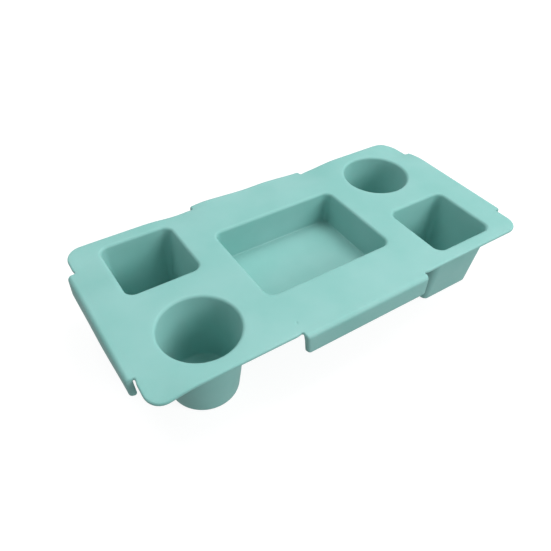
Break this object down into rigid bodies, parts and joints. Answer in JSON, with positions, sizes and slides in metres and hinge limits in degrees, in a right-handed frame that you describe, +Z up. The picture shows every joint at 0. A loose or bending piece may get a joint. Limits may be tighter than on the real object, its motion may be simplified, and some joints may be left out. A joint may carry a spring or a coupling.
{
  "type": "silicone soap mould",
  "caption": "Flexible silicone soap mould: a thin deck with deep round and square pockets, a shallow rectangular tray and turned-down side flanges.",
  "frame": {"origin": "centre of the rectangle around the mould, on the plane that the pocket bottoms stand on", "axes": "+Z up, out of the mouths; +X along the long side, towards the end whose front pocket is square; +Y towards the back, so that the pocket at the front left is round"},
  "size_m": [0.2936, 0.1494, 0.052],
  "materials": {
    "deck_silicone": "matt platinum-cure silicone",
    "round_pocket_front_left_wall_silicone": "matt platinum-cure silicone",
    "round_pocket_back_right_wall_silicone": "matt platinum-cure silicone",
    "square_pocket_back_left_wall_silicone": "matt platinum-cure silicone",
    "square_pocket_front_right_wall_silicone": "matt platinum-cure silicone",
    "tray_wall_silicone": "matt platinum-cure silicone",
    "round_pocket_front_left_floor_silicone": "matt platinum-cure silicone",
    "round_pocket_back_right_floor_silicone": "matt platinum-cure silicone",
    "square_pocket_back_left_floor_silicone": "matt platinum-cure silicone",
    "square_pocket_front_right_floor_silicone": "matt platinum-cure silicone",
    "tray_floor_silicone": "matt platinum-cure silicone",
    "flange_front_silicone": "matt platinum-cure silicone",
    "flange_back_silicone": "matt platinum-cure silicone",
    "flange_left_silicone": "matt platinum-cure silicone",
    "flange_right_silicone": "matt platinum-cure silicone"
  },
  "bodies": {
    "mould": {"deck": "deck_silicone", "round_pocket_front_left_wall": "round_pocket_front_left_wall_silicone", "round_pocket_back_right_wall": "round_pocket_back_right_wall_silicone", "square_pocket_back_left_wall": "square_pocket_back_left_wall_silicone", "square_pocket_front_right_wall": "square_pocket_front_right_wall_silicone", "tray_wall": "tray_wall_silicone"},
    "round_pocket_front_left_floor": {"round_pocket_front_left_floor": "round_pocket_front_left_floor_silicone"},
    "round_pocket_back_right_floor": {"round_pocket_back_right_floor": "round_pocket_back_right_floor_silicone"},
    "square_pocket_back_left_floor": {"square_pocket_back_left_floor": "square_pocket_back_left_floor_silicone"},
    "square_pocket_front_right_floor": {"square_pocket_front_right_floor": "square_pocket_front_right_floor_silicone"},
    "tray_floor": {"tray_floor": "tray_floor_silicone"},
    "flange_front": {"flange_front": "flange_front_silicone"},
    "flange_back": {"flange_back": "flange_back_silicone"},
    "flange_left": {"flange_left": "flange_left_silicone"},
    "flange_right": {"flange_right": "flange_right_silicone"}
  },
  "joints": [
    {"name": "round_pocket_front_left_floor_push", "type": "slide", "parent": "mould", "child": "round_pocket_front_left_floor", "axis": [0, 0, 1], "range_m": [0, 0.008], "stiffness_N_per_m": 400},
    {"name": "round_pocket_back_right_floor_push", "type": "slide", "parent": "mould", "child": "round_pocket_back_right_floor", "axis": [0, 0, 1], "range_m": [0, 0.008], "stiffness_N_per_m": 400},
    {"name": "square_pocket_back_left_floor_push", "type": "slide", "parent": "mould", "child": "square_pocket_back_left_floor", "axis": [0, 0, 1], "range_m": [0, 0.008], "stiffness_N_per_m": 400},
    {"name": "square_pocket_front_right_floor_push", "type": "slide", "parent": "mould", "child": "square_pocket_front_right_floor", "axis": [0, 0, 1], "range_m": [0, 0.008], "stiffness_N_per_m": 400},
    {"name": "tray_floor_push", "type": "slide", "parent": "mould", "child": "tray_floor", "axis": [0, 0, 1], "range_m": [0, 0.01], "stiffness_N_per_m": 250},
    {"name": "flange_front_flex", "type": "hinge", "parent": "mould", "child": "flange_front", "pos_m": [0, -0.07015, 0.052], "axis": [-1, 0, 0], "range_deg": [-4, 30], "stiffness_Nm_per_rad": 0.03},
    {"name": "flange_back_flex", "type": "hinge", "parent": "mould", "child": "flange_back", "pos_m": [0, 0.07015, 0.052], "axis": [1, 0, 0], "range_deg": [-4, 30], "stiffness_Nm_per_rad": 0.03},
    {"name": "flange_left_flex", "type": "hinge", "parent": "mould", "child": "flange_left", "pos_m": [-0.14215, 0, 0.052], "axis": [0, 1, 0], "range_deg": [-4, 30], "stiffness_Nm_per_rad": 0.03},
    {"name": "flange_right_flex", "type": "hinge", "parent": "mould", "child": "flange_right", "pos_m": [0.14215, 0, 0.052], "axis": [0, -1, 0], "range_deg": [-4, 30], "stiffness_Nm_per_rad": 0.03}
  ]
}
